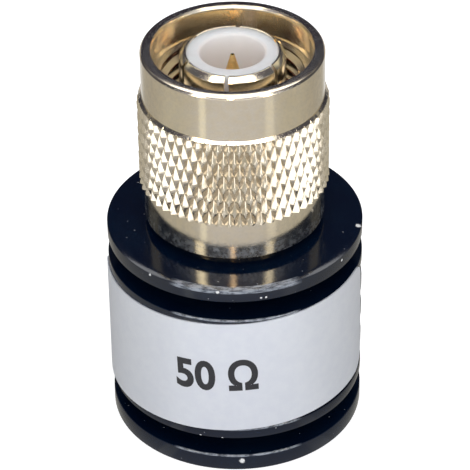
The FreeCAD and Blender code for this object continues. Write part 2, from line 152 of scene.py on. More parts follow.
CONTACT_INNER = 3.5
CONTACT_OUTER = 4.05
CONTACT_SEAT = radius_of("outer_contact")
CONTACT_BOTTOM = bottom_of("outer_contact")
CONTACT_TOP = top_of("outer_contact")
GASKET_TOP = top_of("gasket")
THREAD_BOTTOM = GASKET_TOP + 0.3
SLOT_FLOOR = CONTACT_TOP - 5.1
SLOT_COUNT = 6
SLOT_TURN = -7.0
CONTACT_STEPS = 72
CONTACT_NOSE = 0.4
INSULATOR_RADIUS = 3.48
INSULATOR_BOTTOM = bottom_of("front_insulator")
BORE_RADIUS = 2.45
BORE_FLOOR = CONTACT_TOP - 5.4
PIN_NECK = 1.05
COLLAR_RADIUS = 2.0
COLLAR_TOP = INSULATOR_BOTTOM + 0.8
FIT_GAP = 0.01
INSULATOR_STEPS = 128

# The photograph's camera

CAMERA_PLACE = (0.0, -178.974, 143.04)
CAMERA_AIM_HEIGHT = 15.649
CAMERA_ROLL = 0.80995
CAMERA_LENS = 213.865
CAMERA_SENSOR = 36.0
CAMERA_NEAR = 10.0
CAMERA_FAR = 10000.0


def make_camera():
    camera = bpy.data.objects.new("camera", bpy.data.cameras.new("camera"))
    camera.data.sensor_width = CAMERA_SENSOR
    camera.data.lens = CAMERA_LENS
    camera.data.clip_start = CAMERA_NEAR * MM
    camera.data.clip_end = CAMERA_FAR * MM
    place = Vector(CAMERA_PLACE) * MM
    forward = Vector((0, 0, CAMERA_AIM_HEIGHT * MM)) - place
    level = forward.to_track_quat("-Z", "Y")
    roll = Quaternion((0, 0, 1), -math.radians(CAMERA_ROLL))
    camera.matrix_world = Matrix.Translation(place) @ (level @ roll).to_matrix().to_4x4()
    bpy.context.scene.collection.objects.link(camera)
    bpy.context.scene.camera = camera


class Graph:
    """The nodes of one material or world, with short calls for what recurs."""

    def __init__(self, tree):
        self.tree = tree
        tree.nodes.clear()

    def node(self, kind, inputs=(), **settings):
        """A node, with its settings, and its inputs by name or number as values or as sockets."""
        node = self.tree.nodes.new("ShaderNode" + kind)
        for name, setting in settings.items():
            setattr(node, name, setting)
        for key, given in dict(inputs).items():
            if isinstance(given, bpy.types.NodeSocket):
                self.tree.links.new(given, node.inputs[key])
            else:
                node.inputs[key].default_value = given
        return node

    def math(self, operation, *values, clamp=False):
        return self.node("Math", enumerate(values), operation=operation, use_clamp=clamp).outputs[0]

    def vector(self, operation, *values):
        return self.node("VectorMath", enumerate(values), operation=operation).outputs[0]

    def product(self, first, *others):
        """The values multiplied together."""
        for other in others:
            first = self.math("MULTIPLY", first, other)
        return first

    def span(self, given, low, high, start=0.0, end=1.0):
        """A smooth change from start to end as the given value goes from low to high."""
        inputs = {"Value": given, "From Min": low, "From Max": high, "To Min": start, "To Max": end}
        return self.node("MapRange", inputs, interpolation_type="SMOOTHSTEP").outputs[0]

    def band(self, given, start, full, fading, end):
        """One from full to fading, and nothing before the start and after the end."""
        return self.product(self.span(given, start, full), self.span(given, end, fading))

    def noise(self, place, scale, detail=2.0, roughness=0.5):
        inputs = {"Vector": place, "Scale": scale, "Detail": detail, "Roughness": roughness}
        return self.node("TexNoise", inputs).outputs["Fac"]

    def mix(self, share, first, second):
        """A colour between the first and the second."""
        node = self.tree.nodes.new("ShaderNodeMix")
        node.data_type = "RGBA"
        for socket, given in ((node.inputs[0], share), (node.inputs[6], first), (node.inputs[7], second)):
            if isinstance(given, bpy.types.NodeSocket):
                self.tree.links.new(given, socket)
            elif socket.type == "RGBA":
                socket.default_value = (*given, 1.0)
            else:
                socket.default_value = given
        return node.outputs[2]

    def place(self):
        """The point on the object, in millimetres."""
        point = self.node("TexCoord").outputs["Object"]
        return self.node("VectorMath", {0: point, "Scale": 1 / MM}, operation="SCALE").outputs[0]

    def parts(self, vector):
        return self.node("SeparateXYZ", {0: vector}).outputs

    def joined(self, *parts):
        return self.node("CombineXYZ", enumerate(parts)).outputs[0]

    def radius(self, place):
        x, y, _ = self.parts(place)
        return self.math("SQRT", self.math("ADD", self.product(x, x), self.product(y, y)))

    def surface(self, shader, kind="OutputMaterial"):
        self.node(kind, {"Surface": shader})


def new_material(name):
    material = bpy.data.materials.new(name)
    material.use_nodes = True
    return material, Graph(material.node_tree)


def principled(graph, colour, roughness, normal=None, **constants):
    """The shader; its constants are set on its own sockets, with words joined by underscores."""
    inputs = {"Base Color": colour, "Roughness": roughness}
    if normal is not None:
        inputs["Normal"] = normal
    for name, value in constants.items():
        inputs[name.replace("_", " ")] = value
    for key in ("Base Color", "Sheen Tint", "Specular Tint", "Coat Tint"):
        if key in inputs and isinstance(inputs[key], tuple) and len(inputs[key]) == 3:
            inputs[key] = (*inputs[key], 1.0)
    return graph.node("BsdfPrincipled", inputs).outputs[0]


def tool_marks(graph, place, spacing):
    """Fine rings that a lathe leaves: noise that changes with radius and height only."""
    height = graph.parts(place)[2]
    across = graph.joined(graph.radius(place), height, 0.0)
    return graph.noise(across, 1 / spacing, detail=3.0, roughness=0.6)


def bump(graph, height, distance, strength=1.0, normal=None):
    inputs = {"Height": height, "Distance": distance * MM, "Strength": strength}
    if normal is not None:
        inputs["Normal"] = normal
    return graph.node("Bump", inputs).outputs[0]


def on_side(radius, azimuth, height):
    """The point at that radius and height, seen from the axis at that azimuth."""
    angle = math.radians(azimuth)
    return (radius * math.sin(angle), -radius * math.cos(angle), height)


def spot(graph, place, centre, size, ragged):
    """One inside a ragged spot round the centre, and nothing outside it."""
    away = graph.node("VectorMath", {0: place, 1: centre}, operation="DISTANCE").outputs["Value"]
    away = graph.math("ADD", away, graph.span(ragged, 0.3, 0.7, -0.3 * size, 0.3 * size))
    return graph.span(away, size, size * 0.55)


def mouth_shares(graph, radius, height):
    """One on the wall of the nut's mouth and below it, and one on the mouth's floor and below it."""
    inside = graph.product(graph.span(radius, MOUTH_RADIUS + 0.08, MOUTH_RADIUS + 0.03),
                           graph.span(height, NUT_BOTTOM + 3, NUT_BOTTOM + 4))
    on_floor = graph.product(inside, graph.span(height, MOUTH_FLOOR + 0.12, MOUTH_FLOOR - 0.02))
    return inside, on_floor


def tail_stain(graph, place, radius, height):
    """How much haze the lower half of the nut's tail has, in blots."""
    tail = graph.product(graph.span(height, NUT_BOTTOM + 1.5, NUT_BOTTOM + 0.7),
                         graph.span(radius, NUT_RADIUS - 0.3, NUT_RADIUS - 0.2))
    blots = graph.noise(place, 1.3, detail=5.0, roughness=0.7)
    return graph.product(tail, graph.span(blots, 0.42, 0.66, 0.04, 0.3))


# colours of the mouth's wall, of its floor and of the haze on the plating, and the mouth's gloss
MOUTH_TINT = (0.93, 0.84, 0.66)
MOUTH_FLOOR_TINT = (0.52, 0.42, 0.29)
HAZE_TINT = (0.6, 0.63, 0.66)
HAZE_ROUGHNESS = 0.5
MOUTH_ROUGHNESS = 0.16
DENT_DEPTH = 0.08


def nickel(name, roughness, light, dark, grain=0.004, marks=0.0012, haze=0.1, dents=()):
    """Plated brass: warm grey with lathe marks, a fine grain, a mottled haze and a duller mouth."""
    material, graph = new_material(name)
    place = graph.place()
    height = graph.parts(place)[2]
    radius = graph.radius(place)
    patches = graph.noise(place, 0.45, detail=4.0, roughness=0.6)
    mottle = graph.noise(place, 1.9, detail=4.0, roughness=0.7)
    fine = graph.noise(place, 7.0, detail=3.0, roughness=0.65)
    rings = tool_marks(graph, place, 0.09)
    inside, on_floor = mouth_shares(graph, radius, height)

    colour = graph.mix(graph.span(patches, 0.3, 0.7), light, dark)
    colour = graph.mix(inside, colour, MOUTH_TINT)
    colour = graph.mix(on_floor, colour, MOUTH_FLOOR_TINT)
    gloss = graph.math("ADD", graph.span(fine, 0.3, 0.8, roughness * 0.8, roughness * 1.3),
                       graph.span(patches, 0.4, 0.8, 0.0, roughness * 0.25))
    gloss = graph.math("MAXIMUM", gloss, graph.product(inside, MOUTH_ROUGHNESS))
    normal = bump(graph, fine, grain)
    normal = bump(graph, rings, marks, 1.0, normal)
    for dent_radius, azimuth, up, size in dents:
        dent = spot(graph, place, on_side(dent_radius, azimuth, up), size, fine)
        normal = bump(graph, dent, DENT_DEPTH, -1.0, normal)

    clear = principled(graph, colour, gloss, normal, Metallic=1.0)
    hazy = principled(graph, HAZE_TINT, HAZE_ROUGHNESS, normal, Metallic=1.0)
    amount = graph.span(mottle, 0.35, 0.65, 0.4 * haze, 1.8 * haze)
    amount = graph.math("ADD", amount, tail_stain(graph, place, radius, height))
    graph.surface(graph.node("MixShader", {0: amount, 1: clear, 2: hazy}).outputs[0])
    return material


def painted_edge_highlight(graph, place, radius):
    """One on the upper edges of the discs and the fins in front, in streaks: a painted highlight of the
    front lamps.
    """
    x, y, z = graph.parts(place)
    front = graph.math("DIVIDE", graph.math("MULTIPLY", y, -1.0), radius)
    on_front = graph.span(front, math.cos(math.radians(HIGHLIGHT_END)), math.cos(math.radians(HIGHLIGHT_FULL)))
    bevel = graph.product(graph.span(radius, SINK_RADIUS - 0.52, SINK_RADIUS - 0.42),
                          graph.span(z, SINK_TOP - TOP_FALL - 0.1, SINK_TOP - TOP_FALL))
    turns = graph.math("DIVIDE", graph.math("SUBTRACT", z, BASE_DISC), FIN_PITCH)
    from_edge = graph.math("ABSOLUTE", graph.math("SUBTRACT", turns, graph.math("ROUND", turns)))
    corner = graph.product(graph.span(radius, SINK_RADIUS - 0.16, SINK_RADIUS - EDGE_ROUNDING),
                           graph.span(from_edge, 0.065, 0.035))
    along = graph.math("MULTIPLY", graph.math("ARCTAN2", y, x), SINK_RADIUS)
    across = graph.math("MULTIPLY", graph.math("ADD", radius, z), STREAK_FINENESS)
    streaks = graph.noise(graph.joined(along, across, 0.0), 1.2, detail=5.0, roughness=0.7)
    return graph.product(graph.math("MAXIMUM", bevel, corner), on_front,
                         graph.span(streaks, 0.36, 0.6, 0.1, 1.0))


def anodised():
    """Blue-black anodised aluminium: lathe rings, a little dust, a few chips, and painted highlights on the
    front edges and on the first fin.
    """
    material, graph = new_material("black_anodised_aluminium")
    place = graph.place()
    fine = graph.noise(place, 9.0, detail=3.0, roughness=0.6)
    cloud = graph.noise(place, 0.35, detail=3.0, roughness=0.55)
    ragged = graph.noise(place, 2.3, detail=5.0, roughness=0.75)
    rings = tool_marks(graph, place, 0.07)
    edge_highlight = painted_edge_highlight(graph, place, graph.radius(place))

    # dust: small pale specks where a fine noise peaks
    dust = graph.span(graph.noise(place, 3.2, detail=1.0, roughness=0.4), 0.79, 0.805)
    dust_chips_and_highlights = graph.product(dust, DUST_SHOWN)
    # pale spots: the chips, and two painted highlights on the first fin
    for spot_radius, azimuth, height, size in CHIPS_AND_HIGHLIGHTS:
        chip_or_highlight = spot(graph, place, on_side(spot_radius, azimuth, height), size, ragged)
        dust_chips_and_highlights = graph.math("MAXIMUM", chip_or_highlight, dust_chips_and_highlights)

    colour = graph.mix(graph.span(cloud, 0.3, 0.75), *ANODISED_TINTS)
    # the front edges get a painted highlight; the dust, the chips and two painted highlights on the first
    # fin are pale
    colour = graph.mix(edge_highlight, colour, EDGE_HIGHLIGHT_TINT)
    colour = graph.mix(dust_chips_and_highlights, colour, BARE_AND_HIGHLIGHT_TINT)
    shown = graph.math("MAXIMUM", edge_highlight, dust_chips_and_highlights)
    gloss = graph.math("MAXIMUM", graph.span(fine, 0.3, 0.75, 0.07, 0.14),
                       graph.product(shown, CHIP_AND_HIGHLIGHT_ROUGHNESS))
    normal = bump(graph, fine, 0.002)
    normal = bump(graph, rings, 0.0012, 1.0, normal)
    normal = bump(graph, shown, 0.03, -1.0, normal)
    graph.surface(principled(graph, colour, gloss, normal, IOR=1.5))
    return material


# the anodised film, the painted highlight on its front edges, and the bare metal of its chips, which the
# dust and two painted highlights on the first fin share
ANODISED_TINTS = ((0.0008, 0.004, 0.015), (0.0014, 0.0065, 0.019))
EDGE_HIGHLIGHT_TINT = (0.28, 0.31, 0.36)
BARE_AND_HIGHLIGHT_TINT = (0.74, 0.75, 0.76)
CHIP_AND_HIGHLIGHT_ROUGHNESS = 0.45
DUST_SHOWN = 0.3

# the azimuths at which the painted edge highlight is whole and gone, and how narrow its streaks are
HIGHLIGHT_FULL = 25
HIGHLIGHT_END = 31
STREAK_FINENESS = 5.0

# radius, azimuth, height and size of each chip on the heat sink; the last two are painted highlights on the
# first fin's lower edge
CHIPS_AND_HIGHLIGHTS = (
    (SINK_RADIUS, 1.8, 0.94, 0.27),
    (SINK_RADIUS, -7.9, SINK_TOP - 0.25, 0.14),
    (SINK_RADIUS, 10.9, SINK_TOP - 0.87, 0.11),
    (SINK_RADIUS, 13.3, SINK_TOP - 0.88, 0.09),
    (SINK_RADIUS, -40.6, SINK_TOP - 0.2, 0.12),
    (SINK_RADIUS, 54.8, SINK_TOP - 0.4, 0.12),
    (SINK_RADIUS - 0.25, 79.9, SINK_TOP, 0.24),
    # painted highlights on the lower edge of the first fin
    (SINK_RADIUS, -17.0, 3.24, 0.1),
    (SINK_RADIUS, -7.0, 3.22, 0.11),
)


def foil():
    """Silver-white satin foil, with a faint mottle and tiny creases."""
    material, graph = new_material("silver_foil_label")
    place = graph.place()
    mottle = graph.noise(place, 1.1, detail=4.0, roughness=0.6)
    fine = graph.noise(place, 11.0, detail=3.0, roughness=0.7)
    colour = graph.mix(graph.span(mottle, 0.3, 0.7), (0.68, 0.71, 0.78), (0.71, 0.74, 0.80))
    gloss = graph.span(fine, 0.3, 0.7, 0.36, 0.46)
    normal = bump(graph, fine, 0.0025)
    normal = bump(graph, mottle, 0.009, 1.0, normal)
    graph.surface(principled(graph, colour, gloss, normal, Metallic=0.35))
    return material


def ink():
    """Black transfer print with small gaps in the film."""
    material, graph = new_material("black_print")
    place = graph.place()
    gaps = graph.noise(place, 9.0, detail=3.0, roughness=0.7)
    colour = graph.mix(graph.span(gaps, 0.6, 0.75), (0.016, 0.016, 0.02), (0.07, 0.07, 0.08))
    gloss = graph.span(gaps, 0.3, 0.7, 0.4, 0.55)
    graph.surface(principled(graph, colour, gloss, bump(graph, gaps, 0.004)))
    return material


def ptfe():
    """White fluoropolymer, slightly translucent and cool, with faint lathe rings and painted light in its
    bore.
    """
    material, graph = new_material("white_ptfe")
    place = graph.place()
    cloud = graph.noise(place, 0.9, detail=3.0)
    rings = tool_marks(graph, place, 0.12)
    colour = graph.mix(graph.span(cloud, 0.3, 0.7), (0.84, 0.83, 0.87), (0.88, 0.88, 0.93))
    # the bore is painted lighter and warmer: painted light standing in for the light inside it
    bore_painted_light = graph.span(graph.radius(place), BORE_RADIUS + 0.3, BORE_RADIUS)
    colour = graph.mix(bore_painted_light, colour, (1.0, 0.93, 0.92))
    gloss = graph.span(cloud, 0.3, 0.7, 0.42, 0.5)
    shader = principled(graph, colour, gloss, bump(graph, rings, 0.004), IOR=1.35,
                        Subsurface_Weight=0.8, Subsurface_Radius=(1.0, 0.9, 0.93), Subsurface_Scale=3 * MM)
    graph.surface(shader)
    return material


def gold():
    """Gold plate with lathe rings and a slightly browner tone in patches."""
    material, graph = new_material("gold_plate")
    place = graph.place()
    tone = graph.noise(place, 1.7, detail=3.0)
    rings = tool_marks(graph, place, 0.05)
    colour = graph.mix(graph.span(tone, 0.3, 0.7), (0.92, 0.65, 0.27), (0.82, 0.54, 0.2))
    gloss = graph.span(rings, 0.3, 0.7, 0.2, 0.3)
    graph.surface(principled(graph, colour, gloss, bump(graph, rings, 0.002), Metallic=1.0))
    return material


def rubber():
    """Brown-red silicone, matt, with a fine moulded grain."""
    material, graph = new_material("silicone_rubber")
    place = graph.place()
    grain = graph.noise(place, 8.0, detail=4.0, roughness=0.7)
    cloud = graph.noise(place, 0.8)
    colour = graph.mix(graph.span(cloud, 0.3, 0.7), (0.36, 0.06, 0.03), (0.28, 0.045, 0.022))
    gloss = graph.span(grain, 0.3, 0.7, 0.5, 0.65)
    graph.surface(principled(graph, colour, gloss, bump(graph, grain, 0.01)))
    return material


def bare_metal(name, light, dark, roughness):
    """A turned metal without plating: lathe rings and patches of tarnish."""
    material, graph = new_material(name)
    place = graph.place()
    tarnish = graph.noise(place, 0.9, detail=4.0, roughness=0.65)
    rings = tool_marks(graph, place, 0.08)
    colour = graph.mix(graph.span(tarnish, 0.35, 0.7), light, dark)
    gloss = graph.span(rings, 0.3, 0.7, roughness * 0.8, roughness * 1.25)
    graph.surface(principled(graph, colour, gloss, bump(graph, rings, 0.003), Metallic=1.0))
    return material


def ceramic():
    """Fired white ceramic with a spiral-trimmed dark film."""
    material, graph = new_material("alumina_ceramic")
    place = graph.place()
    x, y, z = graph.parts(place)
    grain = graph.noise(place, 12.0, detail=3.0, roughness=0.7)
    turn = graph.math("DIVIDE", graph.math("ARCTAN2", y, x), math.tau)
    climb = graph.math("FRACT", graph.math("ADD", graph.math("DIVIDE", z, 0.8), turn))
    film = graph.span(climb, 0.12, 0.16)
    colour = graph.mix(film, (0.84, 0.82, 0.77), (0.09, 0.075, 0.07))
    gloss = graph.span(grain, 0.3, 0.7, 0.5, 0.65)
    graph.surface(principled(graph, colour, gloss, bump(graph, grain, 0.004)))
    return material


MATERIALS = {
    "black_anodised_aluminium": anodised(),
    "silver_foil_label": foil(),
    "nickel_plate": nickel("nickel_plate", 0.085, (0.70, 0.61, 0.47), (0.66, 0.57, 0.43), 0.003, 0.001,
                           dents=((NUT_RADIUS, -8.8, 31.73, 0.1),)),
    "bright_nickel": nickel("bright_nickel", 0.08, (0.62, 0.53, 0.44), (0.56, 0.47, 0.38), 0.001, 0.0006,
                            haze=0.05),
    "knurled_nickel": nickel("knurled_nickel", 0.12, (0.70, 0.62, 0.50), (0.62, 0.54, 0.42), 0.005, 0.0,
                             haze=0.07),
    "spring_bronze": bare_metal("spring_bronze", (0.62, 0.38, 0.2), (0.48, 0.28, 0.14), 0.3),
    "silicone_rubber": rubber(),
    "white_ptfe": ptfe(),
    "gold_plate": gold(),
    "alumina_ceramic": ceramic(),
    "tin_plate": bare_metal("tin_plate", (0.68, 0.67, 0.65), (0.56, 0.55, 0.53), 0.4),
    "bare_brass": bare_metal("bare_brass", (0.78, 0.58, 0.26), (0.66, 0.46, 0.18), 0.3),
    "black_print": ink(),
}


def outline(bm, corners, closed=True):
    """A wire in the XZ plane: each corner is a radius, a height and, where it is rounded, how far."""
    vertices = [bm.verts.new((corner[0] * MM, 0, corner[1] * MM)) for corner in corners]
    for first, second in zip(vertices, vertices[1:]):
        bm.edges.new((first, second))
    if closed:
        bm.edges.new((vertices[-1], vertices[0]))
    rounded = {}
    for vertex, corner in zip(vertices, corners):
        if len(corner) > 2:
            rounded.setdefault(corner[2], []).append(vertex)
    for offset, chosen in rounded.items():
        bmesh.ops.bevel(bm, geom=chosen, offset=offset * MM, offset_type="OFFSET", segments=3,
                        profile=0.5, affect="VERTICES", material=-1)


def spin(bm, steps, angle=math.tau):
    """Turns everything in the mesh round the axis and closes the seam and the poles."""
    bmesh.ops.spin(bm, geom=bm.verts[:] + bm.edges[:], cent=(0, 0, 0), axis=(0, 0, 1), angle=angle,
                   steps=steps, use_merge=angle == math.tau)
    bmesh.ops.remove_doubles(bm, verts=bm.verts[:], dist=0.0002 * MM)
    bmesh.ops.recalc_face_normals(bm, faces=bm.faces[:])


def turned(corners, steps, closed=True):
    bm = bmesh.new()
    outline(bm, corners, closed)
    spin(bm, steps)
    return bm


def add_piece(name, bm, material, body, node=None, sharp=28.0):
    """Makes an object of the mesh, smooth but for edges sharper than that angle, riding on the body."""
    limit = math.radians(sharp)
    for edge in bm.edges:
        edge.smooth = edge.calc_face_angle(math.pi) < limit
    for face in bm.faces:
        face.smooth = True
    mesh = bpy.data.meshes.new(name)
    bm.to_mesh(mesh)
    bm.free()
    mesh.materials.append(MATERIALS[material])
    piece = bpy.data.objects.new(name, mesh)
    bpy.context.scene.collection.objects.link(piece)
    normals = piece.modifiers.new("weighted_normals", "WEIGHTED_NORMAL")
    normals.keep_sharp = True
    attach(piece, body)
    if node:
        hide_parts(node)
    return piece


def make_heat_sink():
    """The finned body: discs and fins with small rounded edges, a core and a stepped blind bore."""
    edge = EDGE_ROUNDING
    corners = [(0, 0), (SINK_RADIUS, 0, edge), (SINK_RADIUS, BASE_DISC, edge)]
    for index in range(FIN_GROOVES):
        low = BASE_DISC + index * FIN_PITCH
        high = low + FIN_GAP
        corners += [(CORE_RADIUS, low, edge), (CORE_RADIUS, high, edge), (SINK_RADIUS, high, edge)]
        if index < FIN_GROOVES - 1:
            corners.append((SINK_RADIUS, low + FIN_PITCH, edge))
    corners += [
        (SINK_RADIUS, SINK_TOP - TOP_FALL, TOP_ROUNDING),
        (SINK_RADIUS - TOP_BEVEL, SINK_TOP),
        (BARREL_RADIUS, SINK_TOP),
        (BARREL_RADIUS, BARREL_BOTTOM),
        (SLEEVE_RADIUS, BARREL_BOTTOM),
        (SLEEVE_RADIUS, SLEEVE_BOTTOM),
        (0, SLEEVE_BOTTOM),
    ]
    bm = turned(corners, SINK_STEPS, closed=False)
    add_piece("finned_body", bm, "black_anodised_aluminium", "base", "heat_sink")


def wrap_on_sink(bm, lift=0.0):
    """Bends a flat mesh, in millimetres with its face up, on the cylinder under the label."""
    skew = math.radians(LABEL_SKEW)
    middle = math.radians(270 + LABEL_TURN)
    for vertex in bm.verts:
        along, up, out = vertex.co
        across = along * math.cos(skew) - up * math.sin(skew)
        rise = along * math.sin(skew) + up * math.cos(skew)
        angle = middle + across / LABEL_RADIUS
        radius = LABEL_RADIUS + lift + out
        vertex.co = Vector((radius * math.cos(angle), radius * math.sin(angle), LABEL_MIDDLE + rise)) * MM


def cut_into_columns(bm, low, high, width):
    """Cuts a flat mesh at even steps along X, so that it can bend."""
    count = math.ceil((high - low) / width)
    for index in range(1, count):
        place = low + (high - low) * index / count
        bmesh.ops.bisect_plane(bm, geom=bm.verts[:] + bm.edges[:] + bm.faces[:], dist=1e-6,
                               plane_co=(place, 0, 0), plane_no=(1, 0, 0))


def make_label():
    """The sticker: a flat sheet with rounded corners, thickened and wrapped on the fins."""
    bm = bmesh.new()
    bmesh.ops.create_grid(bm, x_segments=1, y_segments=1, size=0.5)
    bmesh.ops.scale(bm, verts=bm.verts[:], vec=(LABEL_LENGTH, LABEL_HEIGHT, 1))
    bmesh.ops.bevel(bm, geom=bm.verts[:], offset=LABEL_CORNER, offset_type="OFFSET", segments=10,
                    profile=0.5, affect="VERTICES", material=-1)
    cut_into_columns(bm, -LABEL_LENGTH / 2, LABEL_LENGTH / 2, LABEL_COLUMN)
    bmesh.ops.recalc_face_normals(bm, faces=bm.faces[:])
    made = bmesh.ops.extrude_face_region(bm, geom=bm.faces[:])
    raised = [item for item in made["geom"] if isinstance(item, bmesh.types.BMVert)]
    bmesh.ops.translate(bm, verts=raised, vec=(0, 0, LABEL_THICKNESS))
    bmesh.ops.recalc_face_normals(bm, faces=bm.faces[:])
    wrap_on_sink(bm)
    add_piece("foil_label", bm, "silver_foil_label", "base", "label")


def make_print():
    """The generic marking: the load's resistance, in narrow print in the middle of the label."""
    text = bpy.data.curves.new("marking", "FONT")
    text.body = "50 Ω"
    text.align_x = "CENTER"
    text.align_y = "CENTER"
    text.size = PRINT_HEIGHT / FIGURE_SHARE
    text.offset = PRINT_WEIGHT * text.size
    text.resolution_u = 6
    flat = bpy.data.objects.new("marking", text)
    mesh = bpy.data.meshes.new_from_object(flat)
    bpy.data.objects.remove(flat)
    bm = bmesh.new()
    bm.from_mesh(mesh)
    bpy.data.meshes.remove(mesh)
    bmesh.ops.remove_doubles(bm, verts=bm.verts[:], dist=1e-4)
    bmesh.ops.scale(bm, verts=bm.verts[:], vec=(PRINT_STRETCH, 1, 1))
    reach = max(abs(vertex.co.x) for vertex in bm.verts)
    cut_into_columns(bm, -reach, reach, PRINT_COLUMN)
    made = bmesh.ops.extrude_face_region(bm, geom=bm.faces[:])
    raised = [item for item in made["geom"] if isinstance(item, bmesh.types.BMVert)]
    bmesh.ops.translate(bm, verts=raised, vec=(0, 0, 2 * PRINT_PROUD))
    bmesh.ops.recalc_face_normals(bm, faces=bm.faces[:])
    wrap_on_sink(bm, LABEL_THICKNESS - PRINT_PROUD)
    add_piece("label_marking", bm, "black_print", "base")


def make_nut():
    """The coupling nut's turned bands, its mouth with a flat floor, and its bore."""
    rim = NUT_TOP - RIM_FALL
    bm = turned([
        (NUT_BORE + BORE_BEVEL, NUT_BOTTOM),
        (NUT_RADIUS, NUT_BOTTOM, TAIL_ROUNDING),
        (NUT_RADIUS, rim - RIM_BEVEL[1], 0.015),
        (NUT_RADIUS - RIM_BEVEL[0], rim, 0.012),
        (MOUTH_RADIUS + MOUTH_BEVEL[0], NUT_TOP, 0.03),
        (MOUTH_RADIUS, NUT_TOP - MOUTH_BEVEL[1], 0.06),
        (MOUTH_RADIUS, MOUTH_FLOOR, 0.05),
        (THREAD_MAJOR, MOUTH_FLOOR, 0.04),
        (THREAD_MAJOR, THREAD_BOTTOM),
        (NUT_BORE, THREAD_BOTTOM),
        (NUT_BORE, RING_GROOVE_TOP),
        (RING_GROOVE_RADIUS, RING_GROOVE_TOP),
        (RING_GROOVE_RADIUS, RING_GROOVE_BOTTOM),
        (NUT_BORE, RING_GROOVE_BOTTOM),
        (NUT_BORE, NUT_BOTTOM + BORE_BEVEL),
    ], SINK_STEPS)
    add_piece("turned_nut", bm, "nickel_plate", "nut", "coupling_nut")


def tooth_place(vertex):
    """Columns round the nut and full teeth up from the knurl's bottom, where a row of crests lies."""
    column = math.atan2(vertex.co.y, vertex.co.x) / math.tau * KNURL_COLUMNS
    return column + KNURL_SHIFT, (vertex.co.z / MM - KNURL_BOTTOM) / (2 * KNURL_ROW)


def press_grooves(knurled):
    """Presses V grooves of both hands into the band, deeper to one side or the other."""
    chance = random.Random(11)
    width = math.tau * NUT_RADIUS / KNURL_COLUMNS
    spacing = width * 2 * KNURL_ROW / math.hypot(width, 2 * KNURL_ROW)
    uneven = [[chance.uniform(-KNURL_UNEVEN, KNURL_UNEVEN) for _ in range(KNURL_COLUMNS)]
              for _ in KNURL_DEPTHS]
    for vertex in knurled:
        column, row = tooth_place(vertex)
        to_side = vertex.co.x / MM / KNURL_TIP
        cut = 0.0
        for hand, across in enumerate((column - row, column + row)):
            depth, change = KNURL_DEPTHS[hand]
            depth += change * to_side + uneven[hand][math.floor(across) % KNURL_COLUMNS]
            from_groove = spacing * (0.5 - abs(across - round(across)))
            cut += max(0.0, depth - from_groove) ** KNURL_ROUNDING
        # the grooves run out where the top is chamfered
        below_top = KNURL_TOP - vertex.co.z / MM
        cut = cut ** (1 / KNURL_ROUNDING) * min(1.0, below_top / KNURL_END)
        upright = Vector((vertex.co.x, vertex.co.y, vertex.co.z * WANDER_FLATTENING)) / MM
        wander = sum(far * noise.noise(upright * often) for often, far in KNURL_WANDER)
        crest = min(KNURL_CREST, KNURL_TIP - cut) + wander
        reach = min(crest, NUT_RADIUS + KNURL_LEDGE + below_top) / KNURL_TIP
        vertex.co.x *= reach
        vertex.co.y *= reach


def split_along_grooves(bm, knurled):
    """Splits the band's four-sided faces along the grooves and the ridges."""
    for hand in (-1, 1):
        lines = []
        for vertex in knurled:
            column, row = tooth_place(vertex)
            halves = 2 * (column + hand * row)
            if abs(halves - round(halves)) < 0.02:
                lines.append(vertex)
        bmesh.ops.connect_verts(bm, verts=lines)


def make_knurl():
    """The knurl: a fine band round the nut, with its grooves pressed in and a chamfered top."""
    rise = 2 * KNURL_ROW / KNURL_GRID
    levels = math.ceil((KNURL_TOP - KNURL_BOTTOM) / rise)
    heights = [min(KNURL_BOTTOM + index * rise, KNURL_TOP) for index in range(levels + 1)]
    face = [(KNURL_TIP, height) for height in heights]
    bm = turned([(KNURL_FOOT, KNURL_BOTTOM), *face, (KNURL_FOOT, KNURL_TOP)], KNURL_COLUMNS * KNURL_GRID)
    knurled = [vertex for vertex in bm.verts if math.hypot(vertex.co.x, vertex.co.y) / MM > NUT_RADIUS]
    press_grooves(knurled)
    split_along_grooves(bm, knurled)
    bmesh.ops.recalc_face_normals(bm, faces=bm.faces[:])
    add_piece("knurl", bm, "knurled_nickel", "nut", "coupling_nut", sharp=14.0)


def make_thread():
    """The nut's inner thread: one ridge wound down from the mouth's floor."""
    bm = bmesh.new()
    height = MOUTH_FLOOR - THREAD_BELOW_FLOOR - THREAD_ROOT
    outline(bm, [
        (THREAD_MAJOR + THREAD_SUNK, height + THREAD_ROOT),
        (THREAD_MINOR, height + THREAD_CREST),
        (THREAD_MINOR, height - THREAD_CREST),
        (THREAD_MAJOR + THREAD_SUNK, height - THREAD_ROOT),
    ])
    bmesh.ops.spin(bm, geom=bm.verts[:] + bm.edges[:], cent=(0, 0, 0), axis=(0, 0, 1),
                   dvec=(0, 0, -THREAD_PITCH * MM / THREAD_STEPS), angle=THREAD_TURNS * math.tau,
                   steps=THREAD_TURNS * THREAD_STEPS)
    bmesh.ops.holes_fill(bm, edges=[edge for edge in bm.edges if edge.is_boundary], sides=4)
    bmesh.ops.recalc_face_normals(bm, faces=bm.faces[:])
    add_piece("nut_thread", bm, "nickel_plate", "nut", "coupling_nut")


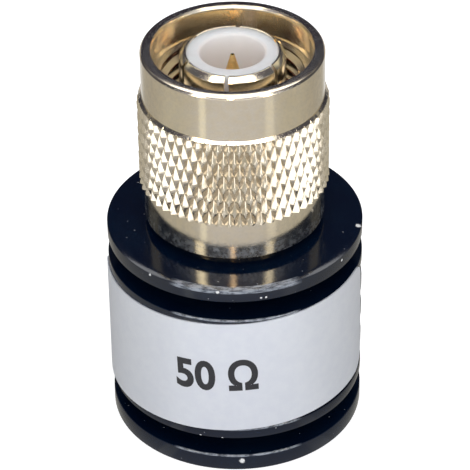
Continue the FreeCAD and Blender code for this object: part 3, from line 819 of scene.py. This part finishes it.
def draw_up_fingers(bm, first_slot):
    """Draws the ring's top up into fingers, with every slot one step wide."""
    top_faces = [face for face in bm.faces
                 if face.normal.z > 0.9 and face.calc_center_median().z / MM > SLOT_FLOOR - 0.01]
    per_finger = CONTACT_STEPS // SLOT_COUNT
    fingers = []
    for face in top_faces:
        centre = face.calc_center_median()
        angle = (math.atan2(centre.y, centre.x) - first_slot) % math.tau
        if int(angle * CONTACT_STEPS / math.tau) % per_finger:
            fingers.append(face)
    made = bmesh.ops.extrude_face_region(bm, geom=fingers)
    raised = [item for item in made["geom"] if isinstance(item, bmesh.types.BMVert)]
    bmesh.ops.translate(bm, verts=raised, vec=(0, 0, (CONTACT_TOP - SLOT_FLOOR) * MM))
    bmesh.ops.delete(bm, geom=[face for face in fingers if face.is_valid], context="FACES_ONLY")


def ring_edges(bm, radius, height):
    """The edges round the axis at that radius and height."""
    return [
        edge for edge in bm.edges
        if all(abs(v.co.z / MM - height) < 0.01 and
               abs(math.hypot(v.co.x, v.co.y) / MM - radius) < 0.01 for v in edge.verts)
    ]


def make_outer_contact():
    """The slotted spring sleeve: a ring whose top is drawn up into six fingers with chamfered fronts."""
    bm = turned([
        (CONTACT_INNER, CONTACT_BOTTOM),
        (CONTACT_SEAT, CONTACT_BOTTOM),
        (CONTACT_SEAT, GASKET_TOP),
        (CONTACT_OUTER, GASKET_TOP),
        (CONTACT_OUTER, SLOT_FLOOR),
        (CONTACT_INNER, SLOT_FLOOR),
    ], CONTACT_STEPS)
    # the mesh starts at +X, and the first slot is turned to its place from there
    first_slot = math.radians(270 + SLOT_TURN - 180 / CONTACT_STEPS)
    bmesh.ops.rotate(bm, verts=bm.verts[:], cent=(0, 0, 0), matrix=Matrix.Rotation(first_slot, 3, "Z"))
    draw_up_fingers(bm, first_slot)
    # radius and height of each edge, how far it is cut back, and in how many steps
    for radius, height, offset, segments in (
        (CONTACT_OUTER, CONTACT_TOP, CONTACT_NOSE, 1),
        (CONTACT_OUTER - CONTACT_NOSE, CONTACT_TOP, 0.04, 3),
        (CONTACT_OUTER, CONTACT_TOP - CONTACT_NOSE, 0.06, 3),
        (CONTACT_INNER, CONTACT_TOP, 0.05, 2),
    ):
        bmesh.ops.bevel(bm, geom=ring_edges(bm, radius, height), offset=offset * MM, offset_type="OFFSET",
                        segments=segments, profile=0.5, affect="EDGES", material=-1)
    bmesh.ops.recalc_face_normals(bm, faces=bm.faces[:])
    add_piece("slotted_contact", bm, "bright_nickel", "base", "outer_contact", sharp=35.0)


def make_insulator():
    """The white sleeve in the contact: a wide bore at its mouth, a neck for the pin and a collar's seat."""
    bm = turned([
        (COLLAR_RADIUS + FIT_GAP, INSULATOR_BOTTOM),
        (INSULATOR_RADIUS, INSULATOR_BOTTOM),
        (INSULATOR_RADIUS, CONTACT_TOP, 0.12),
        (BORE_RADIUS, CONTACT_TOP, 0.28),
        (BORE_RADIUS, BORE_FLOOR, 0.1),
        (PIN_NECK + FIT_GAP, BORE_FLOOR),
        (PIN_NECK + FIT_GAP, COLLAR_TOP),
        (COLLAR_RADIUS + FIT_GAP, COLLAR_TOP),
    ], INSULATOR_STEPS)
    add_piece("mouth_insulator", bm, "white_ptfe", "base", "front_insulator")


def dress_frame_nodes():
    """Gives each CAD node that stays in view the material of its slot."""
    slots = {part["node"]: part["material_slot"] for part in frame["record"]["subparts"]}
    for node, piece in frame["nodes"].items():
        piece.data.materials.clear()
        piece.data.materials.append(MATERIALS[slots[node]])


# Studio

FLOOR_SIZE = 3000.0
PANEL_HALF_WIDTH = 360.0
FRONT_PANEL = 500.0
PANEL_HEIGHT = 700.0
TOP_PANEL_BACK = 540.0
FRONT_RADIANCE = 1.8
TOP_RADIANCE = 1.25


def add_panel(name, corner, right, up, radiance):
    """A rectangular lamp that shines towards right x up, given one corner and its two sides."""
    right, up = Vector(right) * MM, Vector(up) * MM
    lamp = bpy.data.lights.new(name, "AREA")
    lamp.shape = "RECTANGLE"
    lamp.size = right.length
    lamp.size_y = up.length
    lamp.energy = radiance * math.pi * right.length * up.length
    panel = bpy.data.objects.new(name, lamp)
    facing = right.cross(up).normalized()
    axes = Matrix((right.normalized(), up.normalized(), facing)).transposed().to_4x4()
    centre = Vector(corner) * MM + (right + up) / 2
    panel.matrix_world = Matrix.Translation(centre) @ axes @ Matrix.Rotation(math.pi, 4, "Y")
    panel.visible_camera = False
    panel.visible_glossy = False
    bpy.context.scene.collection.objects.link(panel)
    return panel


def make_lamps():
    width = 2 * PANEL_HALF_WIDTH
    add_panel("front_panel", (PANEL_HALF_WIDTH, -FRONT_PANEL, 5), (-width, 0, 0), (0, 0, PANEL_HEIGHT),
              FRONT_RADIANCE)
    add_panel("top_panel", (PANEL_HALF_WIDTH, -FRONT_PANEL, PANEL_HEIGHT), (-width, 0, 0),
              (0, FRONT_PANEL + TOP_PANEL_BACK, 0), TOP_RADIANCE)


# The radiance that metal sees. Azimuths are degrees, and a rise is the z of a direction, its sine.

# the room, in front from left to right, and then round the sides to the back
ROOM_FRONT = ((0.5, 0.5, 0.6), (0.8, 0.8, 0.88))
FRONT_SIDES = (-40, 40)
ROOM_SHADES = (
    (50, 80, (0.1, 0.1, 0.12)),
    (115, 140, (0.04, 0.038, 0.055)),
)
ROOM_CEILING = (0.12, 0.105, 0.125)
CEILING_RISE = (0.6, 0.75)
ROOM_FOR_MATT = (0.32, 0.32, 0.33)

# the bright wall and floor far in front, which fade in over these azimuths, rises and distances
FAR_SIDES = (46, 38)
FAR_RISE = (0.34, 0.24)
FAR_DISTANCE = (62, 110)
FAR_WHITE = (2.4, 2.4, 2.4)

# the two wide lamps overhead and a pale patch behind, each as a band of rises and of azimuths
LAMP_WHITE = (3.3, 3.3, 3.3)
FRONT_LAMP_RISE = (0.71, 0.75, 0.89, 0.93)
FRONT_LAMP_SIDES = (65, 55)
BACK_LAMP_RISE = (0.70, 0.73, 0.81, 0.84)
BACK_LAMP_SIDES = (145, 155)
PATCH_SIDES = (110, 118, 138, 146)
PATCH_RISE = (0.3, 0.4, 0.7, 0.8)
PATCH_TINT = (0.75, 0.71, 0.56)

# azimuth, half width and radiance of the narrow lamps above the front, and their band of rises
STRIP_RISE = (0.32, 0.4, 0.84, 0.88)
STRIPS = (
    (-45.0, 6.0, (17.0, 16.0, 13.0)),
    (-3.0, 1.8, (26.0, 19.5, 13.0)),
    (44.5, 5.3, (13.5, 12.8, 10.8)),
)


# the floor: its front, its shades round to the back, its brighter streaks, and the shade near the part
FLOOR_FRONT = (0.79, 0.79, 0.80)
FLOOR_SHADES = (
    (15, 75, (0.66, 0.65, 0.58)),
    (75, 120, (0.53, 0.51, 0.45)),
    (135, 158, (0.87, 0.87, 0.87)),
)
FLOOR_STREAKS = (
    (-36.5, 4.0, (1.1, 1.1, 1.02)),
    (43.0, 5.5, (0.95, 0.94, 0.88)),
)
FLOOR_SHADE = (0.6, 0.6, 0.62)
SHADE_DISTANCE = (10, 45)
FLOOR_SINK = 0.02
FLOOR_PAINT = (0.85, 0.85, 0.85, 1.0)
FLOOR_GLOW = 0.6


def around_axis(graph, x, y):
    """Degrees round the axis from the front."""
    return graph.math("MULTIPLY", graph.math("ARCTAN2", x, graph.math("MULTIPLY", y, -1.0)), math.degrees(1))


def near_azimuth(graph, azimuth, middle, half_width):
    away = graph.math("ABSOLUTE", graph.math("SUBTRACT", azimuth, middle))
    return graph.span(away, half_width * 1.35, half_width * 0.65)


def shaded(graph, seen, given, shades):
    """Turns what is seen into each shade as the given value grows from its start to its end."""
    for start, end, radiance in shades:
        seen = graph.mix(graph.span(given, start, end), seen, radiance)
    return seen


def make_world():
    """White to the camera; to metal, the lamps and the dark back of the studio in the photograph."""
    world = bpy.data.worlds.new("studio")
    world.use_nodes = True
    bpy.context.scene.world = world
    graph = Graph(world.node_tree)
    path = graph.node("LightPath").outputs
    x, y, z = graph.parts(graph.node("TexCoord").outputs["Generated"])
    azimuth = around_axis(graph, x, y)
    aside = graph.math("ABSOLUTE", azimuth)

    seen = graph.mix(graph.span(azimuth, *FRONT_SIDES), *ROOM_FRONT)
    seen = shaded(graph, seen, aside, ROOM_SHADES)
    ahead = graph.product(graph.span(aside, *FAR_SIDES), graph.span(z, *FAR_RISE))
    seen = graph.mix(ahead, seen, FAR_WHITE)
    seen = graph.mix(graph.span(z, *CEILING_RISE), seen, ROOM_CEILING)
    front_lamp = graph.product(graph.band(z, *FRONT_LAMP_RISE), graph.span(aside, *FRONT_LAMP_SIDES))
    back_lamp = graph.product(graph.band(z, *BACK_LAMP_RISE), graph.span(aside, *BACK_LAMP_SIDES))
    seen = graph.mix(graph.math("MAXIMUM", front_lamp, back_lamp), seen, LAMP_WHITE)
    patch = graph.product(graph.band(aside, *PATCH_SIDES), graph.band(z, *PATCH_RISE))
    seen = graph.mix(patch, seen, PATCH_TINT)
    for middle, half_width, radiance in STRIPS:
        strip = graph.product(near_azimuth(graph, azimuth, middle, half_width), graph.band(z, *STRIP_RISE))
        seen = graph.mix(strip, seen, radiance)

    # what is matt sees a plain grey, and the camera sees white
    seen = graph.mix(path["Is Glossy Ray"], ROOM_FOR_MATT, seen)
    white = graph.math("MAXIMUM", path["Is Camera Ray"], path["Is Transmission Ray"])
    seen = graph.mix(white, seen, (1.0, 1.0, 1.0))
    background = graph.node("Background", {"Color": seen, "Strength": 1.0})
    graph.surface(background.outputs[0], "OutputWorld")


def make_floor():
    """A white floor: it keeps the shadow, and metal sees it bright far in front and darker at the sides."""
    material, graph = new_material("floor")
    path = graph.node("LightPath").outputs
    place = graph.place()
    distance = graph.radius(place)
    x, y, _ = graph.parts(place)
    azimuth = around_axis(graph, x, y)
    aside = graph.math("ABSOLUTE", azimuth)
    seen = shaded(graph, FLOOR_FRONT, aside, FLOOR_SHADES)
    for middle, half_width, radiance in FLOOR_STREAKS:
        seen = graph.mix(near_azimuth(graph, azimuth, middle, half_width), seen, radiance)
    close = graph.mix(graph.span(distance, *SHADE_DISTANCE), FLOOR_SHADE, (1.0, 1.0, 1.0))
    seen = graph.vector("MULTIPLY", seen, close)
    far = graph.product(graph.span(distance, *FAR_DISTANCE), graph.span(aside, *FAR_SIDES))
    seen = graph.mix(far, seen, FAR_WHITE)
    diffuse = graph.node("BsdfDiffuse", {"Color": FLOOR_PAINT}).outputs[0]
    white = graph.node("Emission", {"Color": (1, 1, 1, 1), "Strength": FLOOR_GLOW})
    lit = graph.node("AddShader", {0: diffuse, 1: white.outputs[0]}).outputs[0]
    shown = graph.node("MixShader", {0: path["Is Camera Ray"], 1: diffuse, 2: lit}).outputs[0]
    glow = graph.node("Emission", {"Color": seen, "Strength": 1.0}).outputs[0]
    graph.surface(graph.node("MixShader", {0: path["Is Glossy Ray"], 1: shown, 2: glow}).outputs[0])
    bm = bmesh.new()
    bmesh.ops.create_grid(bm, x_segments=1, y_segments=1, size=FLOOR_SIZE * MM / 2)
    bmesh.ops.translate(bm, verts=bm.verts[:], vec=(0, 0, -FLOOR_SINK * MM))
    mesh = bpy.data.meshes.new("floor")
    bm.to_mesh(mesh)
    bm.free()
    mesh.materials.append(material)
    floor = bpy.data.objects.new("floor", mesh)
    bpy.context.scene.collection.objects.link(floor)


make_camera()
dress_frame_nodes()
make_heat_sink()
make_label()
make_print()
make_nut()
make_knurl()
make_thread()
make_outer_contact()
make_insulator()
make_floor()
make_world()
make_lamps()

bpy.context.scene.view_settings.view_transform = "Standard"
